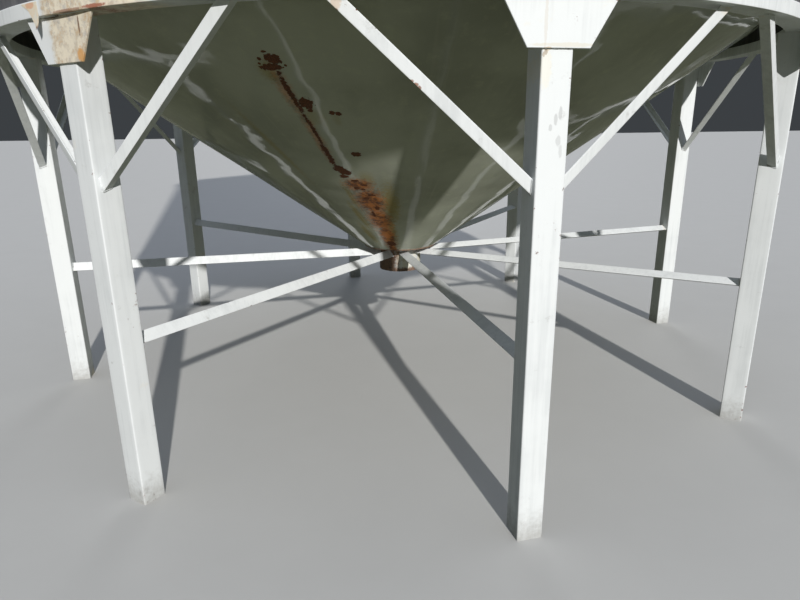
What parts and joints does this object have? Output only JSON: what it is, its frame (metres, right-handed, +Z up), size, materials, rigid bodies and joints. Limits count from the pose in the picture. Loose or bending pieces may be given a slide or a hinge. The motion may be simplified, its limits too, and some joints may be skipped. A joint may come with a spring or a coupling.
{
  "type": "hopper-bottom grain silo on a steel leg stand",
  "caption": "Round corrugated grain silo with a conical hopper bottom, central outlet spout and a braced ring of square steel legs.",
  "frame": {"origin": "on the ground, on the silo's vertical axis, at the centre of the ring of legs", "axes": "+Z up; -Y towards the viewer of the picture, +X to the viewer's right"},
  "size_m": [4.36, 4.36, 7.4255],
  "materials": {
    "white_paint": "weathered satin",
    "olive_paint": "glossy, rust streaked",
    "grey_paint": "weathered satin",
    "galvanised_sheet": "dull spangled zinc"
  },
  "bodies": {
    "root": {"leg_1": "white_paint", "head_plate_1": "white_paint", "brace_1_left": "white_paint", "brace_1_right": "white_paint", "strut_1": "white_paint", "leg_2": "white_paint", "head_plate_2": "white_paint", "brace_2_left": "white_paint", "brace_2_right": "white_paint", "strut_2": "white_paint", "leg_3": "white_paint", "head_plate_3": "white_paint", "brace_3_left": "white_paint", "brace_3_right": "white_paint", "strut_3": "white_paint", "leg_4": "white_paint", "head_plate_4": "white_paint", "brace_4_left": "white_paint", "brace_4_right": "white_paint", "strut_4": "white_paint", "leg_5": "white_paint", "head_plate_5": "white_paint", "brace_5_left": "white_paint", "brace_5_right": "white_paint", "strut_5": "white_paint", "leg_6": "white_paint", "head_plate_6": "white_paint", "brace_6_left": "white_paint", "brace_6_right": "white_paint", "strut_6": "white_paint", "leg_7": "white_paint", "head_plate_7": "white_paint", "brace_7_left": "white_paint", "brace_7_right": "white_paint", "strut_7": "white_paint", "leg_8": "white_paint", "head_plate_8": "white_paint", "brace_8_left": "white_paint", "brace_8_right": "white_paint", "strut_8": "white_paint", "ring_beam": "white_paint", "hopper_skirt": "grey_paint", "hopper_cone": "olive_paint", "outlet_spout": "white_paint", "wall_section_1": "galvanised_sheet", "wall_section_2": "galvanised_sheet", "wall_section_3": "galvanised_sheet", "wall_section_4": "galvanised_sheet", "wall_section_5": "galvanised_sheet", "roof_cone": "galvanised_sheet", "roof_cap": "galvanised_sheet"}
  },
  "joints": []
}
